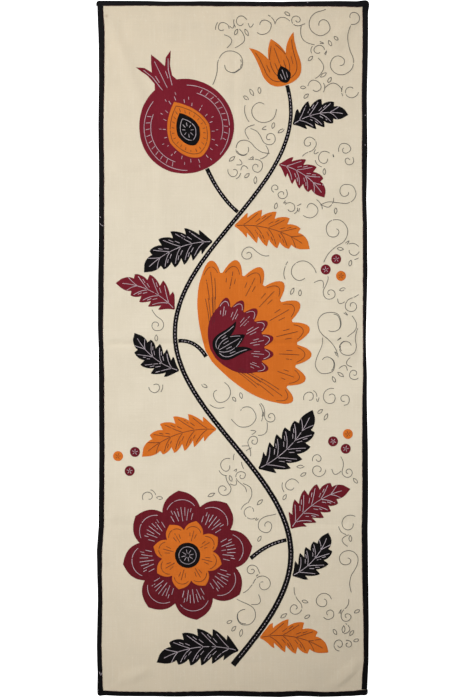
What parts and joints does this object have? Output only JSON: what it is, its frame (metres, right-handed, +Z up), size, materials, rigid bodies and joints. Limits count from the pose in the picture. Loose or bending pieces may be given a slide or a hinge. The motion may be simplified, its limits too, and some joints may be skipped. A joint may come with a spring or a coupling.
{
  "type": "applique panel",
  "caption": "Long flat cotton panel with a narrow folded binding and applied cloth flowers, fruit and leaves on a climbing vine.",
  "frame": {"origin": "middle of the panel's rectangle, on the surface that it lies on", "axes": "+X across the width, +Y along the length towards the bud's end, +Z up from the surface towards the applied side"},
  "size_m": [0.516, 1.3222, 0.0066],
  "materials": {
    "ground": "matte plain weave",
    "binding": "matte plain weave",
    "black": "matte plain weave",
    "maroon": "matte plain weave",
    "orange": "matte plain weave",
    "pale_thread": "soft twist",
    "brown_thread": "soft twist",
    "grey_thread": "soft twist"
  },
  "bodies": {
    "root": {"berry_01": "maroon", "berry_02": "orange", "berry_03": "maroon", "berry_04": "maroon", "berry_05": "orange", "berry_06": "maroon", "berry_07": "maroon", "berry_08": "orange", "berry_09": "maroon", "binding_bottom": "binding", "binding_left": "binding", "binding_right": "binding", "binding_top": "binding", "bud_cup": "black", "bud_petals": "orange", "carnation_cup": "black", "carnation_fan": "orange", "carnation_middle": "maroon", "fruit_body": "maroon", "fruit_flesh": "orange", "fruit_seed": "black", "ground_cloth": "ground", "leaf_01": "black", "leaf_02": "orange", "leaf_03": "black", "leaf_04": "maroon", "leaf_05": "black", "leaf_06": "orange", "leaf_07": "black", "leaf_08": "maroon", "leaf_09": "orange", "leaf_10": "black", "leaf_11": "black", "leaf_12": "maroon", "rose_heart": "black", "rose_petals": "maroon", "rose_ring": "orange", "stalk_carnation": "black", "stalk_fruit": "black", "stalk_rose": "black", "vine": "black"}
  },
  "joints": []
}
